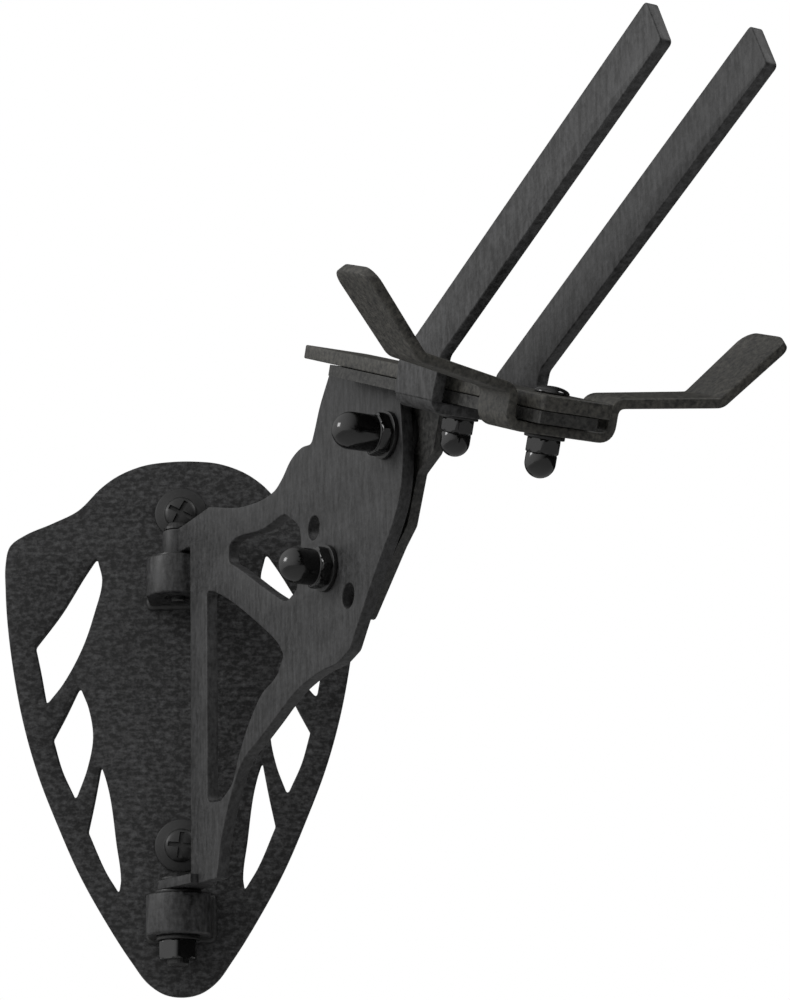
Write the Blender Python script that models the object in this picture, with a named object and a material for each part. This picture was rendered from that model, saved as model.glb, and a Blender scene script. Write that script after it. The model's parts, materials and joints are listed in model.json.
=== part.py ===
"""Folding bicycle wall rack: a shield plate, a swinging arm and a tilting head with two prongs and two ears.

World frame: metres, +Z up, the wall is the plane y = 0 and the rack stands out towards -Y.
"""
import math

import bmesh
import bpy
from mathutils import Matrix, Vector

MM = 0.001

# Wall plate
PLATE_T = 4.0
SCREW_Z = 63.75
SCREW_HOLE_R = 3.4
SCREW_SHANK_R = 3.1
SCREW_HEAD_R = 10.0

# Hinge
AXIS_Y = -17.0
SWING_DEG = 31.0
KNUCKLE_R = 11.7
KNUCKLE_H = 14.8
KNUCKLE_UP_Z = 35.0
KNUCKLE_LOW_Z = -91.0
PIN_R = 3.0
STUD_R = 4.0

# Arm
ARM_T = 4.5
PIVOT_G = 165.8
PIVOT_Z = 47.1
INDEX_R = 55.7
INDEX_DEG = (-160.0, -140.5, -121.0)
BOLT_R = 4.0
ARM_HOLE_R = 4.2
BOLT_FIT = 0.08

# Head
TILT_DEG = 21.7
SKULL_T = 4.6
SKULL_HALF = 12.3
SKULL_TOP = 24.2
FLANGE_T = 3.7
SHEET_T = 3.5
LUG_W = 4.3
LUG_T = 3.7
BOLT_REAR_F = 41.0
BOLT_FRONT_F = 93.9
TOP_BOLT_R = 3.0
PRONG_OUT = 20.0
PRONG_T = 4.0
EAR_F0 = 84.8
EAR_F1 = 106.9
BEND_F0 = 87.0
RISER_F0 = 84.6
RISER_F1 = 102.4
GAP = 0.25

for old in list(bpy.data.objects):
    bpy.data.objects.remove(old)

MATS = {}


def material(name, rgb, metallic, rough):
    if name not in MATS:
        mat = bpy.data.materials.new(name)
        mat.use_nodes = True
        shader = mat.node_tree.nodes["Principled BSDF"]
        shader.inputs["Base Color"].default_value = (rgb[0], rgb[1], rgb[2], 1.0)
        shader.inputs["Metallic"].default_value = metallic
        shader.inputs["Roughness"].default_value = rough
        MATS[name] = mat
    return MATS[name]


def pivot_empty(name, place, parent=None):
    empty = bpy.data.objects.new(name, None)
    bpy.context.scene.collection.objects.link(empty)
    empty.parent = parent
    empty.matrix_world = place
    return empty


def link(name, bm, mat, frame=None, helper=False):
    bmesh.ops.recalc_face_normals(bm, faces=bm.faces)
    mesh = bpy.data.meshes.new(name)
    bm.to_mesh(mesh)
    bm.free()
    mesh.transform(Matrix.Scale(MM, 4))
    obj = bpy.data.objects.new(name, mesh)
    bpy.context.scene.collection.objects.link(obj)
    if mat:
        mesh.materials.append(mat)
    if frame is not None:
        obj.parent = frame
    if helper:
        obj.hide_render = True
        obj.display_type = "WIRE"
    return obj


def boolean(obj, other, kind):
    mod = obj.modifiers.new(kind.lower() + "_" + other.name, "BOOLEAN")
    mod.operation = kind
    mod.solver = "EXACT"
    mod.object = other
    return obj


def rounded(points, radii, steps=3):
    """The polygon with each corner rounded. radii is one number or one for each corner."""
    count = len(points)
    if not isinstance(radii, (list, tuple)):
        radii = [radii] * count
    out = []
    for i in range(count):
        p = Vector(points[i])
        a = Vector(points[i - 1]) - p
        b = Vector(points[(i + 1) % count]) - p
        r = radii[i]
        cos = max(-1.0, min(1.0, a.normalized().dot(b.normalized())))
        angle = math.acos(cos)
        if r <= 0 or angle > math.radians(172):
            out.append((p.x, p.y))
            continue
        reach = min(r / math.tan(angle / 2), 0.45 * a.length, 0.45 * b.length)
        start = p + a.normalized() * reach
        end = p + b.normalized() * reach
        for k in range(steps + 1):
            t = k / steps
            q = start * (1 - t) ** 2 + p * 2 * t * (1 - t) + end * t ** 2
            out.append((q.x, q.y))
    return out


def flowing(points, corners, steps, arc):
    """A closed outline that runs smoothly through its points. corners maps a point's number to its corner radius."""
    spots_in, spots_out = [], []
    count = len(points)
    line = [Vector(p) for p in points]
    for i, p in enumerate(line):
        before = line[i - 1] - p
        after = line[(i + 1) % count] - p
        if i in corners:
            angle = before.angle(after)
            reach = min(corners[i] / math.tan(angle / 2), 0.4 * before.length, 0.4 * after.length)
            spots_in.append((p + before.normalized() * reach, -before.normalized()))
            spots_out.append((p + after.normalized() * reach, after.normalized()))
        else:
            along = (after.normalized() - before.normalized()).normalized()
            spots_in.append((p, along))
            spots_out.append((p, along))
    out = []
    for i, p in enumerate(line):
        start, leave = spots_out[i]
        end, arrive = spots_in[(i + 1) % count]
        if i in corners:
            for k in range(arc):
                t = k / arc
                out.append(spots_in[i][0] * (1 - t) ** 2 + p * 2 * t * (1 - t) + start * t ** 2)
        pull = (end - start).length
        for k in range(steps):
            t = k / steps
            out.append(start * (2 * t ** 3 - 3 * t ** 2 + 1) + leave * pull * (t ** 3 - 2 * t ** 2 + t)
                       + end * (3 * t ** 2 - 2 * t ** 3) + arrive * pull * (t ** 3 - t ** 2))
    return [(q.x, q.y) for q in out]


def prism(points, low, high, place):
    """A closed prism. place(u, v, h) gives the point for the flat coordinates u, v at height h."""
    bm = bmesh.new()
    bottom = [bm.verts.new(place(u, v, low)) for u, v in points]
    top = [bm.verts.new(place(u, v, high)) for u, v in points]
    bm.faces.new(bottom)
    bm.faces.new(top)
    count = len(points)
    for i in range(count):
        j = (i + 1) % count
        bm.faces.new((bottom[i], bottom[j], top[j], top[i]))
    return bm


def in_xz(u, v, h):
    """Flat in the wall's plane: u along +X, v along +Z, h along -Y."""
    return (u, -h, v)


def side(u, v, h):
    """Flat in the arm's plane: u forward along -Y, v along +Z, h across along +X."""
    return (h, -u, v)


def across(u, v, h):
    """Flat across the head: u along +X, v along +Z, h forward along -Y."""
    return (u, -h, v)


def plan(u, v, h):
    """Flat on the ground: u along +X, v forward along -Y, h along +Z."""
    return (u, -v, h)


def circle(cu, cv, r, n=24, phase=0.0):
    turn = [phase + 2 * math.pi * k / n for k in range(n)]
    return [(cu + r * math.cos(t), cv + r * math.sin(t)) for t in turn]


def lathe(profile, n, place):
    """A closed turned body. The profile is (radius, height) from the low axis point to the high one."""
    bm = bmesh.new()
    rings = []
    for r, h in profile:
        if r <= 1e-6:
            rings.append([bm.verts.new(place(0.0, 0.0, h))])
        else:
            ring = [bm.verts.new(place(x, y, h)) for x, y in circle(0, 0, r, n)]
            rings.append(ring)
    for low, high in zip(rings, rings[1:]):
        for i in range(n):
            j = (i + 1) % n
            if len(low) == 1:
                bm.faces.new((low[0], high[j], high[i]))
            elif len(high) == 1:
                bm.faces.new((low[i], low[j], high[0]))
            else:
                bm.faces.new((low[i], low[j], high[j], high[i]))
    return bm


def ring(inner, outer, low, high, n, place):
    """A washer: a closed ring of rectangular section."""
    bm = bmesh.new()
    loops = []
    for r, h in ((inner, low), (outer, low), (outer, high), (inner, high)):
        loops.append([bm.verts.new(place(x, y, h)) for x, y in circle(0, 0, r, n)])
    for k in range(4):
        a = loops[k]
        b = loops[(k + 1) % 4]
        for i in range(n):
            j = (i + 1) % n
            bm.faces.new((a[i], a[j], b[j], b[i]))
    return bm


def at(u, v, place):
    """The same placing, moved so that its flat origin is at u, v."""
    return lambda x, y, h: place(x + u, y + v, h)


BLACK_PLATE = material("plate_coat", (0.020, 0.020, 0.021), 0.3, 0.6)
BLACK_ARM = material("arm_coat", (0.045, 0.045, 0.046), 0.4, 0.5)
BLACK_PRONG = material("prong_coat", (0.040, 0.040, 0.041), 0.4, 0.5)
BLACK_EAR = material("ear_coat", (0.050, 0.049, 0.044), 0.4, 0.5)
BLACK_SKULL = material("skull_coat", (0.055, 0.053, 0.048), 0.4, 0.5)
BLACK_BRACKET = material("bracket_coat", (0.030, 0.030, 0.031), 0.4, 0.5)
KNUCKLE_COAT = material("knuckle_coat", (0.030, 0.030, 0.031), 0.4, 0.55)
GLOSS = material("cap_nut_black", (0.008, 0.008, 0.008), 0.6, 0.15)
SCREW_MAT = material("screw_black", (0.015, 0.015, 0.015), 0.7, 0.4)
WASHER_MAT = material("washer_black", (0.012, 0.012, 0.012), 0.7, 0.35)
STEEL = material("pin_steel", (0.10, 0.10, 0.10), 0.9, 0.35)

# ---------------------------------------------------------------- wall plate
half = [
    (5.0, 84.6), (14.5, 83.4), (23.9, 79.8), (30.4, 75.3), (39.6, 66.2), (49.0, 61.6), (60.4, 56.8),
    (65.6, 52.8), (67.2, 46.0), (67.1, 36.0), (66.1, 22.0), (63.4, 2.5), (59.4, -17.0), (53.8, -36.0),
    (46.3, -55.0), (37.8, -74.0), (27.2, -92.8), (18.4, -106.4), (12.0, -114.6), (5.0, -118.6),
]
outline = half + [(-x, z) for x, z in reversed(half)]
plate = link("wall_plate", prism(flowing(outline, {}, 3, 1), 0.0, PLATE_T, in_xz), BLACK_PLATE)
feathers = [
    ([(32.2, 48.0), (37.3, 40.2), (45.6, 26.4), (55.5, 13.2), (53.5, 4.0), (51.0, -9.3), (44.9, -1.5), (37.6, 12.2),
      (33.0, 26.0), (30.2, 38.5)], {0: 1.0, 3: 2.0, 5: 1.0}),
    ([(38.4, -2.2), (43.7, -13.4), (48.4, -22.4), (45.0, -34.0), (39.6, -45.8), (35.4, -34.0), (33.3, -22.0),
      (35.0, -11.0)], {0: 1.0, 2: 2.0, 4: 1.0}),
    ([(30.2, -32.6), (32.6, -46.0), (35.0, -57.6), (28.4, -72.5), (23.2, -81.0), (22.6, -76.0), (24.4, -61.8),
      (26.6, -45.6), (28.4, -38.0)], {0: 0.8, 2: 2.0, 4: 0.8}),
]
for k, (shape, corners) in enumerate(feathers):
    for sign in (1, -1):
        pts = [(sign * x, z) for x, z in shape]
        cut = link("cut_feather_%d%s" % (k, "ab"[sign < 0]), prism(flowing(pts, corners, 2, 2), -3, PLATE_T + 3, in_xz),
                   None, helper=True)
        boolean(plate, cut, "DIFFERENCE")
for k, z in enumerate((SCREW_Z, -SCREW_Z)):
    cut = link("cut_screw_%d" % k, prism(circle(0, z, SCREW_HOLE_R, 20), -3, PLATE_T + 3, in_xz), None, helper=True)
    boolean(plate, cut, "DIFFERENCE")

# Washer-head wall screws, with a crossed recess
for name, z, turn in (("wall_screw_upper", SCREW_Z, 0.5), ("wall_screw_lower", -SCREW_Z, 0.12)):
    front = PLATE_T + 0.12
    prof = [
        (0, 0.3), (SCREW_SHANK_R - 0.6, 0.3), (SCREW_SHANK_R, 0.9), (SCREW_SHANK_R, front), (SCREW_HEAD_R - 0.3, front),
        (SCREW_HEAD_R, front + 0.3), (SCREW_HEAD_R - 0.5, front + 1.1), (6.4, front + 1.4), (5.6, front + 2.4),
        (3.6, front + 3.2), (0, front + 3.5),
    ]
    screw = link(name, lathe(prof, 28, at(0, z, in_xz)), SCREW_MAT)
    for arm_no in (0, 1):
        ang = turn + arm_no * math.pi / 2
        c, s = math.cos(ang), math.sin(ang)
        bar = [(c * a - s * b, z + s * a + c * b) for a, b in ((-4.6, -0.9), (4.6, -0.9), (4.6, 0.9), (-4.6, 0.9))]
        cut = link("cut_%s_%d" % (name, arm_no), prism(bar, front + 1.2, front + 6, in_xz), None, helper=True)
        boolean(screw, cut, "DIFFERENCE")

# ---------------------------------------------------------------- hinge knuckles on the plate
hinge_place = Matrix.Translation(Vector((0, AXIS_Y, 0)) * MM) @ Matrix.Rotation(math.radians(SWING_DEG), 4, "Z")
fixed_place = Matrix.Translation(Vector((0, AXIS_Y, 0)) * MM)
fixed = pivot_empty("hinge_axis_fixed", fixed_place)
back = -(PLATE_T + 0.1) - AXIS_Y
knuckle_shape = [(-KNUCKLE_R, -back), (KNUCKLE_R, -back)]
knuckle_shape += [(KNUCKLE_R * math.cos(t), KNUCKLE_R * math.sin(t)) for t in [math.pi * k / 18 for k in range(19)]]
for name, z, r in (("hinge_knuckle_upper", KNUCKLE_UP_Z, PIN_R), ("hinge_knuckle_lower", KNUCKLE_LOW_Z, STUD_R)):
    low, high = z - KNUCKLE_H / 2, z + KNUCKLE_H / 2
    knuckle = link(name, prism(knuckle_shape, low, high, plan), KNUCKLE_COAT, fixed)
    cut = link("cut_" + name, prism(circle(0, 0, r + 1.5 + 0.05, 24), low - 3, high + 3, plan), None, fixed, True)
    boolean(knuckle, cut, "DIFFERENCE")
    bush = "hinge_bush_upper" if z > 0 else "hinge_bush_lower"
    link(bush, ring(r + 0.06, r + 1.5, low + 0.2, high - 0.2, 24, plan), STEEL, fixed)

# ---------------------------------------------------------------- arm
swing = pivot_empty("arm_swing_axis", hinge_place)
HOOK_LOW = KNUCKLE_UP_Z + KNUCKLE_H / 2 + 1.5
FOOT_LOW = KNUCKLE_LOW_Z + KNUCKLE_H / 2 + 1.5
arm_pts = [
    (0.0, HOOK_LOW), (0.0, 53.2), (8.0, 53.3), (31.5, 55.2), (60.0, 48.6), (84.0, 48.4), (90.0, 51.2), (97.0, 56.4), (104.8, 58.8),
    (112.6, 58.3), (115.3, 63.0), (118.8, 69.5), (126.3, 79.3), (174.2, 60.2), (174.9, 54.0), (175.2, 33.6),
    (172.4, 23.6), (168.0, 16.8), (156.3, 3.8), (145.6, -9.0), (137.6, -19.2), (128.4, -22.0), (117.8, -22.5),
    (108.3, -23.9), (98.7, -26.2), (90.5, -29.4), (81.3, -33.6), (71.5, -37.8), (58.0, -43.6), (50.3, -51.6),
    (45.0, -60.0), (40.1, -70.0), (36.7, FOOT_LOW), (15.5, FOOT_LOW), (15.5, HOOK_LOW),
]
arm_corners = {0: 0.01, 1: 0.5, 2: 6, 3: 3, 9: 3, 12: 1.5, 13: 1.5, 20: 4, 32: 0.8, 33: 0.8, 34: 1.5}
window_a_corners = {0: 7, 3: 3, 4: 3.5, 8: 6}
window_b_corners = {0: 3, 4: 3, 10: 3, 11: 3}
arm = link("arm_plate", prism(flowing(arm_pts, arm_corners, 3, 3), -ARM_T / 2, ARM_T / 2, side), BLACK_ARM, swing)
boss = link("add_hook_boss", prism(circle(0, 0, 5.6, 24), HOOK_LOW, 53.2, plan), None, swing, True)
boolean(arm, boss, "UNION")
foot_shape = circle(0, 0, 7.6, 28)
foot_shape = [(x, y) for x, y in foot_shape if y < 3.0]
foot_shape = sorted(foot_shape, key=lambda p: math.atan2(p[1] - 3.0, p[0]))
foot_shape = foot_shape + [(5.0, 22.0), (-5.0, 22.0)]
foot = link("add_foot", prism(foot_shape, FOOT_LOW + 0.01, FOOT_LOW + 3.6, plan), None, swing, True)
boolean(arm, foot, "UNION")
cut = link("cut_arm_pin", prism(circle(0, 0, PIN_R + BOLT_FIT, 24), 30, 60, plan), None, swing, True)
boolean(arm, cut, "DIFFERENCE")
cut = link("cut_arm_stud", prism(circle(0, 0, STUD_R + BOLT_FIT, 24), -90, -75, plan), None, swing, True)
boolean(arm, cut, "DIFFERENCE")
window_a = [(92.0, 38.4), (75.2, 36.6), (52.9, 38.2), (48.2, 37.2), (47.6, 30.7), (54.3, 27.4), (86.2, 9.6),
            (92.2, 7.0), (101.0, 9.1), (103.0, 30.1)]
window_b = [(29.6, 24.0), (35.5, 22.4), (73.7, 1.5), (86.5, -7.5), (90.2, -11.9), (84.8, -17.6), (72.4, -22.6),
            (62.1, -31.8), (54.9, -40.9), (49.1, -50.3), (40.2, -54.9), (29.4, -54.0)]
cut = link("cut_window_a", prism(flowing(window_a, window_a_corners, 2, 4), -9, 9, side), None, swing, True)
boolean(arm, cut, "DIFFERENCE")
cut = link("cut_window_b", prism(flowing(window_b, window_b_corners, 2, 3), -9, 9, side), None, swing, True)
boolean(arm, cut, "DIFFERENCE")
spots = [(PIVOT_G, PIVOT_Z)]
for deg in INDEX_DEG:
    t = math.radians(deg)
    spots.append((PIVOT_G + INDEX_R * math.cos(t), PIVOT_Z + INDEX_R * math.sin(t)))
for k, (g, z) in enumerate(spots):
    r = BOLT_R + BOLT_FIT if k in (0, 2) else ARM_HOLE_R
    cut = link("cut_arm_hole_%d" % k, prism(circle(g, z, r, 24), -9, 9, side), None, swing, True)
    boolean(arm, cut, "DIFFERENCE")

# Vertical pin in the upper knuckle and threaded stud in the lower one, fixed to the arm
pin_prof = [(0, 26.0), (PIN_R - 0.4, 26.0), (PIN_R, 26.6), (PIN_R, 53.6), (5.2, 53.6), (5.2, 54.6), (4.2, 56.0),
            (2.2, 56.8), (0, 57.0)]
link("hinge_pin_upper", lathe(pin_prof, 24, plan), STEEL, swing)
thrust = ring(PIN_R + 0.2, 8.4, KNUCKLE_UP_Z + KNUCKLE_H / 2 + 0.15, HOOK_LOW - 0.15, 28, plan)
link("thrust_washer_upper", thrust, WASHER_MAT, swing)
thrust = ring(STUD_R + 0.2, 9.0, KNUCKLE_LOW_Z + KNUCKLE_H / 2 + 0.15, FOOT_LOW - 0.15, 28, plan)
link("thrust_washer_lower", thrust, WASHER_MAT, swing)
LOW = KNUCKLE_LOW_Z - KNUCKLE_H / 2
stud_prof = [(0, LOW - 11.0), (STUD_R - 0.6, LOW - 11.0), (STUD_R, LOW - 10.2), (STUD_R, FOOT_LOW + 3.8),
             (6.6, FOOT_LOW + 3.8), (6.6, FOOT_LOW + 4.6), (5.2, FOOT_LOW + 6.0), (2.6, FOOT_LOW + 6.8),
             (0, FOOT_LOW + 7.0)]
link("hinge_stud_lower", lathe(stud_prof, 24, plan), STEEL, swing)
link("hinge_washer", ring(STUD_R + 0.15, 8.0, LOW - 1.75, LOW - 0.15, 28, plan), WASHER_MAT, swing)


def hexagon(r, n=6, phase=0.0):
    return circle(0, 0, r, n, phase)


def hex_nut(name, bore, flats, low, high, place, mat, parent):
    """A hexagon nut with a through bore, chamfered at both ends."""
    corner = flats / 2 / math.cos(math.pi / 6)
    bm = bmesh.new()
    loops = []
    rows = ((bore, low, 0), (corner * 0.93, low, 1), (corner, low + 0.7, 1), (corner, high - 0.7, 1),
            (corner * 0.93, high, 1), (bore, high, 0))
    n = 24
    for r, h, hexed in rows:
        loop = []
        for k in range(n):
            t = 2 * math.pi * k / n
            rad = r
            if hexed:
                part = (t % (math.pi / 3)) - math.pi / 6
                rad = min(r, flats / 2 / math.cos(part))
            loop.append(bm.verts.new(place(rad * math.cos(t), rad * math.sin(t), h)))
        loops.append(loop)
    for k in range(len(loops)):
        a = loops[k]
        b = loops[(k + 1) % len(loops)]
        for i in range(n):
            j = (i + 1) % n
            bm.faces.new((a[i], a[j], b[j], b[i]))
    return link(name, bm, mat, parent)


hex_nut("hinge_nut", STUD_R + 0.05, 13.0, LOW - 8.6, LOW - 1.9, plan, GLOSS, swing)


def cap_nut(name, bore, flats, base, hex_h, dome_r, dome_h, sign, place, mat, parent):
    """A domed hexagon nut that opens at its base. sign gives the way it points along the height."""
    corner = flats / 2 / math.cos(math.pi / 6)
    n = 24
    tip = base + sign * (hex_h + dome_h)
    rows = [(0, base + sign * (hex_h + dome_h - 3.2), 0), (bore, base + sign * (hex_h + dome_h - 5.0), 0),
            (bore, base, 0), (corner * 0.93, base, 1), (corner, base + sign * 0.7, 1),
            (corner, base + sign * (hex_h - 0.7), 1), (corner * 0.93, base + sign * hex_h, 1),
            (dome_r, base + sign * hex_h, 0)]
    straight = dome_h - dome_r
    for k in range(6):
        t = math.pi / 2 * k / 6
        rows.append((dome_r * math.cos(t), base + sign * (hex_h + straight + dome_r * math.sin(t)), 0))
    rows.append((0, tip, 0))
    bm = bmesh.new()
    loops = []
    for r, h, hexed in rows:
        if r <= 1e-6:
            loops.append([bm.verts.new(place(0, 0, h))])
            continue
        loop = []
        for k in range(n):
            t = 2 * math.pi * k / n
            rad = r
            if hexed:
                part = (t % (math.pi / 3)) - math.pi / 6
                rad = min(r, flats / 2 / math.cos(part))
            loop.append(bm.verts.new(place(rad * math.cos(t), rad * math.sin(t), h)))
        loops.append(loop)
    for a, b in zip(loops, loops[1:]):
        for i in range(n):
            j = (i + 1) % n
            if len(a) == 1:
                bm.faces.new((a[0], b[j], b[i]))
            elif len(b) == 1:
                bm.faces.new((a[i], a[j], b[0]))
            else:
                bm.faces.new((a[i], a[j], b[j], b[i]))
    return link(name, bm, mat, parent)


# Pivot bolt and index bolt, across the arm, with domed nuts on the left side
FAR = LUG_W + LUG_T
NEAR = ARM_T / 2
for name, (g, z), dome_h in (("pivot", spots[0], 14.5), ("index", spots[2], 12.5)):
    place = at(g, z, side)
    prof = [(0, -NEAR - 9.5), (BOLT_R - 0.5, -NEAR - 9.5), (BOLT_R, -NEAR - 9.0), (BOLT_R, FAR + 1.75),
            (6.6, FAR + 1.75), (6.6, FAR + 2.4), (6.0, FAR + 4.0), (4.2, FAR + 5.4), (2.0, FAR + 6.0), (0, FAR + 6.1)]
    link(name + "_bolt", lathe(prof, 24, place), GLOSS, swing)
    link(name + "_washer_near", ring(BOLT_R + 0.1, 8.0, -NEAR - 1.7, -NEAR - 0.12, 28, place), WASHER_MAT, swing)
    link(name + "_washer_far", ring(BOLT_R + 0.1, 8.0, FAR + 0.12, FAR + 1.65, 28, place), WASHER_MAT, swing)
    cap_nut(name + "_cap_nut", BOLT_R + 0.05, 13.0, -NEAR - 1.8, 3.6, 6.2, dome_h, -1, place, GLOSS, swing)
link("pivot_friction_washer", ring(BOLT_R + 0.1, 9.5, NEAR + 0.1, LUG_W - 0.1, 28, at(PIVOT_G, PIVOT_Z, side)),
     WASHER_MAT, swing)

# ---------------------------------------------------------------- head, in its own frame at the pivot
head_place = (hinge_place @ Matrix.Translation(Vector((0, -PIVOT_G, PIVOT_Z)) * MM)
              @ Matrix.Rotation(math.radians(TILT_DEG), 4, "X"))
head = pivot_empty("head_tilt_axis", head_place)

SKULL_LOW = SKULL_TOP - SKULL_T
skull_shape = rounded([(-SKULL_HALF, -51.0), (SKULL_HALF, -51.0), (SKULL_HALF, 110.6), (-SKULL_HALF, 110.6)], 1.5, 2)
skull = link("skull_plate", prism(skull_shape, SKULL_LOW, SKULL_TOP, plan), BLACK_SKULL, head)

FLANGE_TOP = SKULL_LOW - GAP
FLANGE_LOW = FLANGE_TOP - FLANGE_T
bend = LUG_W + LUG_T
flange_shape = rounded([(-SKULL_HALF, -30.0), (bend, -30.0), (bend, 110.0), (-SKULL_HALF, 110.0)], 1.0, 2)
bracket = link("head_bracket", prism(flange_shape, FLANGE_LOW, FLANGE_TOP, plan), BLACK_BRACKET, head)
REST_DEG = INDEX_DEG[1] + TILT_DEG
SLOT_TO_DEG = REST_DEG + 16.0


def polar(r, deg):
    return (r * math.cos(math.radians(deg)), r * math.sin(math.radians(deg)))


lug_shape = [(-29.0, FLANGE_TOP - 0.5), (17.5, FLANGE_TOP - 0.5), (20.5, 12.0), (20.5, -2.0), (12.6, -10.0),
             (11.6, -27.5), (7.0, -35.0)]
lug_shape += [polar(INDEX_R + 7.0, SLOT_TO_DEG + 7.0 - k * (30.0 / 4)) for k in range(5)]
lug = link("add_lug", prism(rounded(lug_shape, [0, 2, 3, 3, 2, 3, 3, 3, 0, 0, 0, 3], 3), LUG_W, bend - 0.01, side), None,
           head, True)
boolean(bracket, lug, "UNION")
cut = link("cut_lug_pivot", prism(circle(0, 0, BOLT_R + BOLT_FIT, 24), -2, 20, side), None, head, True)
boolean(bracket, cut, "DIFFERENCE")
slot_pts = []
for k in range(7):
    slot_pts.append(polar(INDEX_R + BOLT_R + 0.35, REST_DEG - 1.0 + k * (SLOT_TO_DEG - REST_DEG + 2.0) / 6))
cx, cy = polar(INDEX_R, SLOT_TO_DEG + 1.0)
for k in range(1, 6):
    slot_pts.append((cx + (BOLT_R + 0.35) * math.cos(math.radians(SLOT_TO_DEG + 1 + k * 30)),
                     cy + (BOLT_R + 0.35) * math.sin(math.radians(SLOT_TO_DEG + 1 + k * 30))))
for k in range(7):
    slot_pts.append(polar(INDEX_R - BOLT_R - 0.35, SLOT_TO_DEG + 1.0 - k * (SLOT_TO_DEG - REST_DEG + 2.0) / 6))
cx, cy = polar(INDEX_R, REST_DEG - 1.0)
for k in range(1, 6):
    slot_pts.append((cx + (BOLT_R + 0.35) * math.cos(math.radians(REST_DEG - 1 + 180 + k * 30)),
                     cy + (BOLT_R + 0.35) * math.sin(math.radians(REST_DEG - 1 + 180 + k * 30))))
cut = link("cut_lug_slot", prism(slot_pts, -2, 20, side), None, head, True)
boolean(bracket, cut, "DIFFERENCE")

# Prongs: one folded sheet, a web under the bracket and a blade up each side
WEB_TOP = FLANGE_LOW - GAP
WEB_LOW = WEB_TOP - SHEET_T
fork_web = [(-PRONG_OUT, 33.0), (PRONG_OUT, 33.0), (PRONG_OUT, 57.0), (-PRONG_OUT, 57.0)]
blade = [(32.0, WEB_LOW + 1.4), (33.6, WEB_LOW), (57.0, WEB_LOW), (58.6, WEB_LOW + 1.4), (58.5, 30.0),
         (152.6, 126.6), (141.2, 137.9), (31.9, 25.7)]
fork = link("antler_fork", prism(rounded(blade, [0.5, 0.5, 0.5, 0.5, 2, 1.6, 1.6, 2], 2), -PRONG_OUT,
                                 -PRONG_OUT + PRONG_T, side), BLACK_PRONG, head)
other = link("add_blade_right", prism(rounded(blade, [0.5, 0.5, 0.5, 0.5, 2, 1.6, 1.6, 2], 2), PRONG_OUT - PRONG_T,
                                      PRONG_OUT, side), None, head, True)
web = link("add_fork_web", prism([(x * 0.97, y) for x, y in fork_web], WEB_LOW + 0.02, WEB_TOP, plan), None, head, True)
boolean(fork, web, "UNION")
boolean(fork, other, "UNION")

# Ears: one strip, web under the bracket, up each side, then out in two slopes
T = 3.2
right = [(17.7, WEB_LOW + 2.0), (17.7, 21.4), (19.4, 24.3), (22.4, 25.2), (52.6, 29.5), (73.8, 51.2)]


def offset_line(points, dist):
    out = []
    for i, p in enumerate(points):
        p = Vector(p)
        if i == 0:
            d = (Vector(points[1]) - p).normalized()
            n = Vector((-d.y, d.x))
            out.append(p + n * dist)
            continue
        if i == len(points) - 1:
            d = (p - Vector(points[i - 1])).normalized()
            n = Vector((-d.y, d.x))
            out.append(p + n * dist)
            continue
        d1 = (p - Vector(points[i - 1])).normalized()
        d2 = (Vector(points[i + 1]) - p).normalized()
        n1 = Vector((-d1.y, d1.x))
        n2 = Vector((-d2.y, d2.x))
        m = (n1 + n2).normalized()
        out.append(p + m * (dist / max(0.4, m.dot(n1))))
    return [(q.x, q.y) for q in out]


half_line = [(0.0, WEB_LOW + SHEET_T / 2), (15.9, WEB_LOW + SHEET_T / 2)] + right
upper = offset_line(half_line, T / 2)
lower = offset_line(half_line, -T / 2)
mirror_upper = [(-x, z) for x, z in reversed(upper[1:])]
mirror_lower = [(-x, z) for x, z in lower[1:]]
profile = mirror_upper + upper + list(reversed(lower)) + mirror_lower
ears = link("ear_bar", prism(profile, RISER_F0 - 3, EAR_F1, across), BLACK_EAR, head)
paddle = [(90.0, EAR_F0 - 1), (72.0, EAR_F0 - 1), (70.0, EAR_F0 + 0.2), (50.0, BEND_F0), (19.0, RISER_F0)]
paddle += [(-x, f) for x, f in reversed(paddle)]
front = [(90.0, EAR_F1 + 1), (52.0, EAR_F1 + 1), (50.0, EAR_F1 - 0.2), (19.0, RISER_F1)]
paddle += [(-x, f) for x, f in front] + list(reversed(front))
cut = link("keep_ear_outline", prism(paddle, -10.0, 80.0, plan), None, head, True)
boolean(ears, cut, "INTERSECT")

# The strip's free ends are rounded in the plane of the sheet
for sign in (1, -1):
    tip = Vector(right[-1])
    run = (tip - Vector(right[-2])).normalized()
    for end, f in ((0, EAR_F0), (1, EAR_F1)):
        inward = 1 if end == 0 else -1
        r = 4.0
        corner = [(0.4, -0.4), (0.4, r)] + [(-r + r * math.cos(t), r - r * math.sin(t))
                                           for t in [math.pi / 2 * k / 5 for k in range(1, 6)]] + [(-r, -0.4)]
        bm = bmesh.new()
        nrm = Vector((-run.y, run.x))
        rows = []
        for h in (-4.0, 4.0):
            row = []
            for a, b in corner:
                q = tip + run * a + nrm * h
                row.append(bm.verts.new((sign * q.x, -(f + inward * b), q.y)))
            rows.append(row)
        bm.faces.new(rows[0])
        bm.faces.new(rows[1])
        for i in range(len(corner)):
            j = (i + 1) % len(corner)
            bm.faces.new((rows[0][i], rows[0][j], rows[1][j], rows[1][i]))
        cut = link("cut_ear_%s%d" % ("ab"[sign < 0], end), bm, None, head, True)
        boolean(ears, cut, "DIFFERENCE")

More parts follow.
